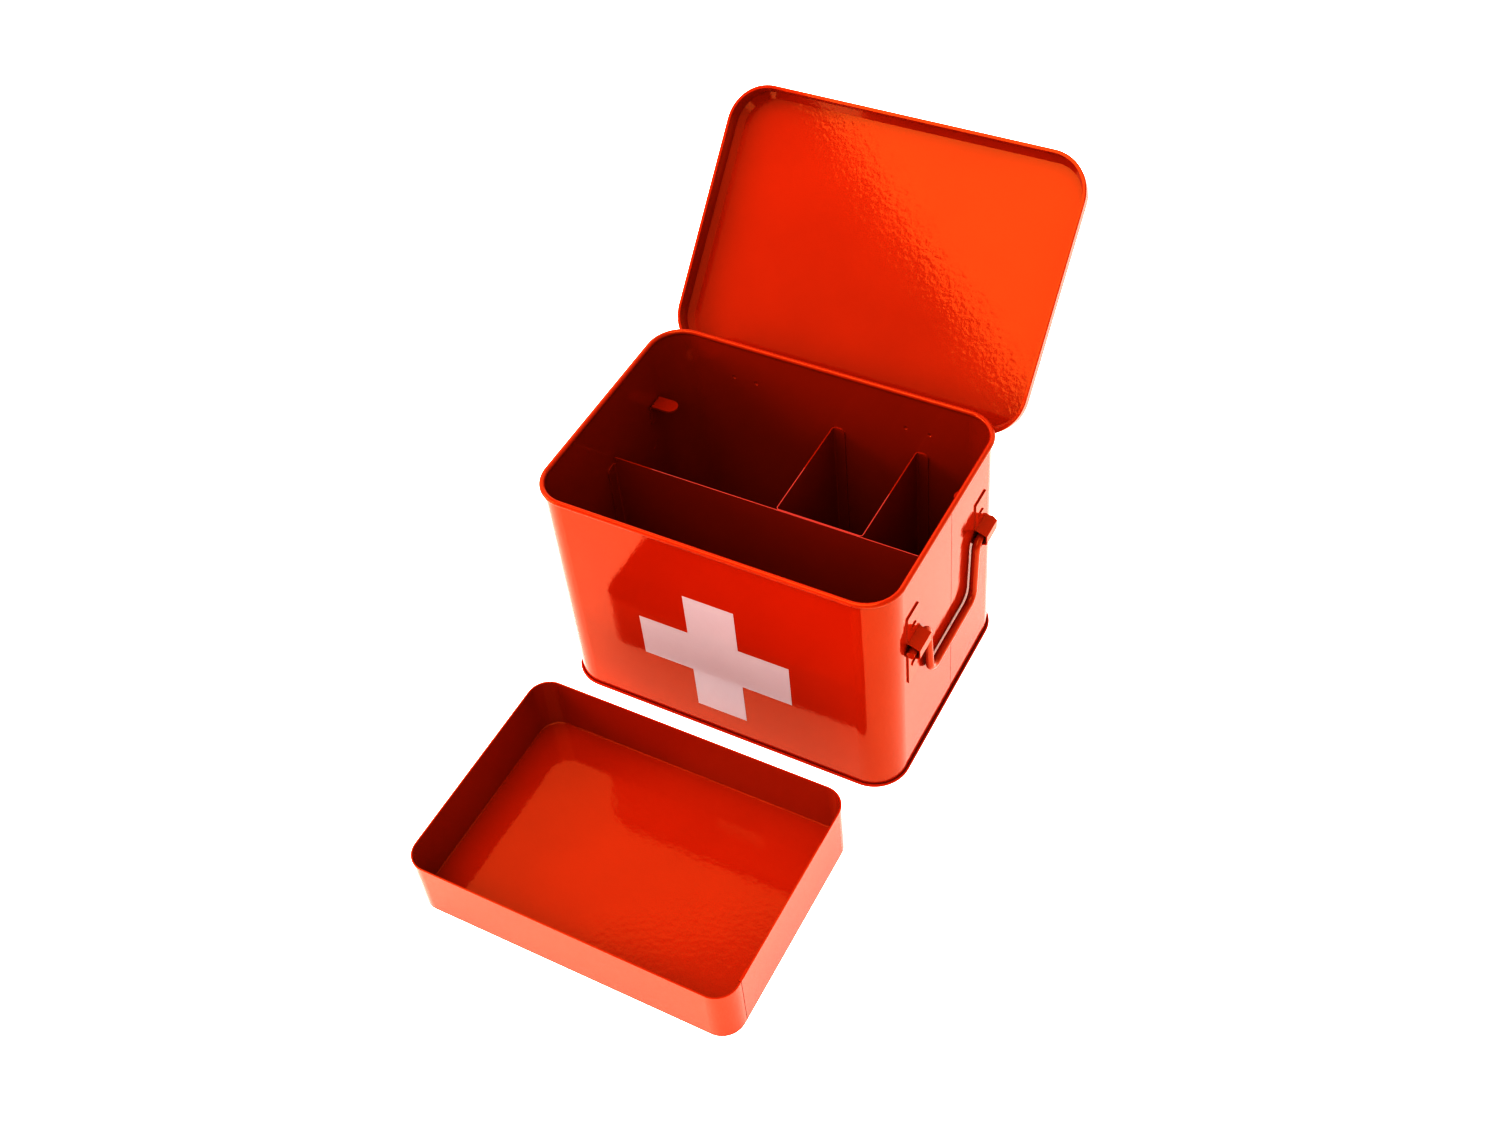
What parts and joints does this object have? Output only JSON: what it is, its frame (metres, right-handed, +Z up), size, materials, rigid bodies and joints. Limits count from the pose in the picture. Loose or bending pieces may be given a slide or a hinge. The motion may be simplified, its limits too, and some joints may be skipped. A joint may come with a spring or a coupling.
{
  "type": "metal storage box with lift-out tray",
  "caption": "Red coated sheet-steel box with a hinged lid, a loose lift-out tray, dividers, a plain white cross on the front and a bail handle on each end.",
  "frame": {"origin": "centre of the box's footprint, on the surface it stands on", "axes": "+X to the box's right, +Y to the hinge side, +Z up; the loose tray lies on the -Y side"},
  "size_m": [0.2302, 0.45, 0.255],
  "materials": {
    "red_coat": "glossy red powder coat with a slight orange peel",
    "coated_rod": "glossy red powder coat on steel rod",
    "white_print": "thin semi-gloss white print over the coat"
  },
  "bodies": {
    "box": {"body_wall": "red_coat", "base_panel": "red_coat", "front_cross": "white_print", "long_divider": "red_coat", "compartment_divider": "red_coat", "tray_rest_left": "red_coat", "tray_rest_right": "red_coat", "tray_rest_front": "red_coat", "hinge_left_body_leaf": "red_coat", "hinge_right_body_leaf": "red_coat", "hinge_left_pin": "coated_rod", "hinge_right_pin": "coated_rod", "right_front_bracket": "red_coat", "right_rear_bracket": "red_coat", "left_front_bracket": "red_coat", "left_rear_bracket": "red_coat"},
    "lid": {"lid_shell": "red_coat", "hinge_left_lid_leaf": "red_coat", "hinge_right_lid_leaf": "red_coat"},
    "right_handle": {"right_handle": "coated_rod"},
    "left_handle": {"left_handle": "coated_rod"},
    "tray": {"tray_wall": "red_coat", "tray_base": "red_coat"}
  },
  "joints": [
    {"name": "lid_hinge", "type": "hinge", "parent": "box", "child": "lid", "pos_m": [0, 0.079, 0.1414], "axis": [1, 0, 0], "range_deg": [0, 133]},
    {"name": "right_handle_swing", "type": "hinge", "parent": "box", "child": "right_handle", "pos_m": [0.1107, 0, 0.102], "axis": [0, -1, 0], "range_deg": [0, 170]},
    {"name": "left_handle_swing", "type": "hinge", "parent": "box", "child": "left_handle", "pos_m": [-0.1107, 0, 0.102], "axis": [0, 1, 0], "range_deg": [0, 170]},
    {"name": "tray_lift", "type": "slide", "parent": "box", "child": "tray", "axis": [0, 0, 1], "range_m": [0, 0.18]}
  ]
}
